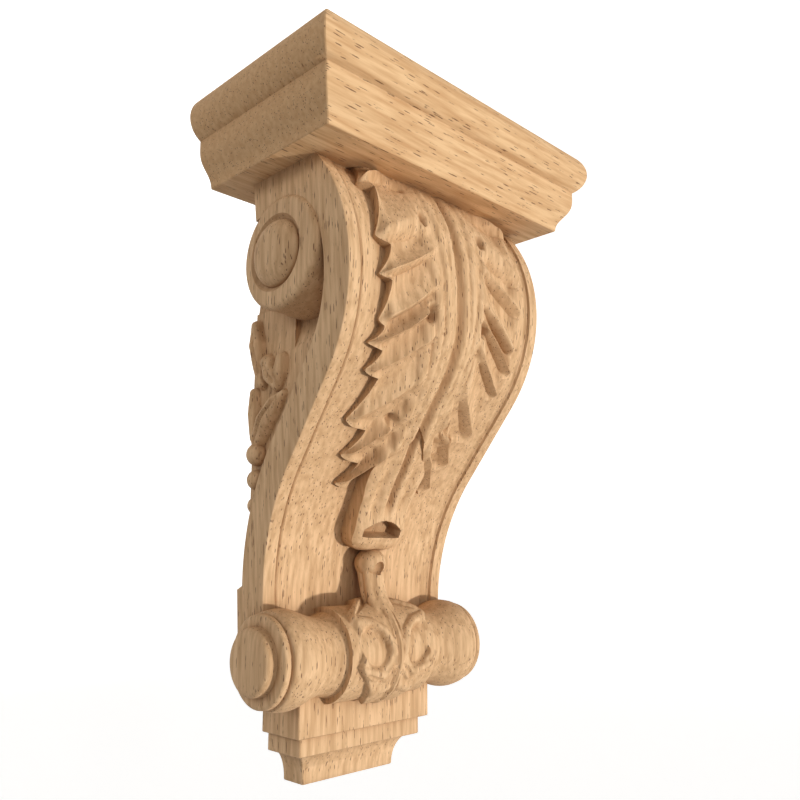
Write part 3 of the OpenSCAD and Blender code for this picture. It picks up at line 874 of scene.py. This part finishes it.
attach(cap, "root")
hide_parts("cap")
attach(body, "root")
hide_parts("carved_body")

# %% [markdown]
# ## Floor, light and camera
# The bracket hangs as on its wall, over a plain pale floor that sweeps up behind it without a
# corner.  One crisp key light stands low on the right, so that it rakes across the carving.
# Two weak suns open up the shaded left side: one from behind it gives it a tone, and one that
# glances along it picks out the edges that face the front.  The room's light fills the rest.

# %% Pale sweep
FLOOR_Z, SWEEP_R, CORNER_R, WALL_TOP = -0.75, 5.0, 1.6, 6.0
AROUND = 64
paper_profile = [(SWEEP_R - CORNER_R, FLOOR_Z)]
paper_profile += [(SWEEP_R - CORNER_R + CORNER_R * math.sin(a),
                   FLOOR_Z + CORNER_R - CORNER_R * math.cos(a))
                  for a in np.linspace(0.1, math.pi / 2, 12)]
paper_profile.append((SWEEP_R, WALL_TOP))
turns = [2 * math.pi * i / AROUND for i in range(AROUND)]
points = [(r * math.cos(a), r * math.sin(a), z) for r, z in paper_profile for a in turns]
faces = [(len(points), (i + 1) % AROUND, i) for i in range(AROUND)]
for j in range(len(paper_profile) - 1):
    for i in range(AROUND):
        low, high, k = j * AROUND, (j + 1) * AROUND, (i + 1) % AROUND
        faces.append((low + i, low + k, high + k, high + i))
floor_mesh = bpy.data.meshes.new("pale_sweep")
floor_mesh.from_pydata(points + [(0.0, 0.0, FLOOR_Z)], [], faces)
floor_mesh.shade_smooth()
floor = bpy.data.objects.new("pale_sweep", floor_mesh)
bpy.context.scene.collection.objects.link(floor)
# evenly lit paper: it shows behind the bracket but neither shades nor lights it
paper = bpy.data.materials.new("matte white paper")
paper.use_nodes = True
paper_shader = paper.node_tree.nodes["Principled BSDF"]
for socket, value in (("Base Color", wood_colour("#f6f5f3")), ("Roughness", 0.95),
                      ("Emission Color", (1.0, 0.99, 0.98, 1.0)), ("Emission Strength", 0.55)):
    paper_shader.inputs[socket].default_value = value
floor_mesh.materials.append(paper)
floor.visible_shadow = False
floor.visible_diffuse = False
print("sweep of", len(faces), "faces")

# %% Lights
world = bpy.data.worlds.new("soft room")
bpy.context.scene.world = world
world.use_nodes = True
world.node_tree.nodes["Background"].inputs["Color"].default_value = (1.0, 1.0, 1.0, 1.0)
world.node_tree.nodes["Background"].inputs["Strength"].default_value = 0.36


def add_sun(name, towards, strength, spread):
    """A sun that shines along a direction, with a spread in degrees."""
    light = bpy.data.lights.new(name, 'SUN')
    light.energy = strength
    light.angle = math.radians(spread)
    holder = bpy.data.objects.new(name, light)
    holder.rotation_euler = Vector(towards).to_track_quat('-Z', 'Y').to_euler()
    bpy.context.scene.collection.objects.link(holder)
    print(name, strength)


add_sun("key light", (-0.42, 0.90, 0.24), 2.65, 4)
add_sun("side fill", (0.75, -0.40, -0.35), 0.45, 25)
add_sun("glancing fill", (0.42, 0.88, -0.22), 0.40, 6)

# %% Camera
camera_data = bpy.data.cameras.new("camera")
camera_data.lens = 36.6
camera_data.sensor_width = 36.0
camera_data.clip_start = 0.01
camera = bpy.data.objects.new("camera", camera_data)
camera.location = (-0.21363, -0.25169, -0.04525)
yaw, pitch = 0.78376, 0.18777
level = math.cos(pitch)
aim = Vector((math.sin(yaw) * level, math.cos(yaw) * level, math.sin(pitch)))
camera.rotation_euler = aim.to_track_quat('-Z', 'Y').to_euler()
bpy.context.scene.collection.objects.link(camera)
bpy.context.scene.camera = camera
bpy.context.scene.view_settings.view_transform = 'Standard'
print(f"camera {camera.location.length:.3f} m from the middle of the back")
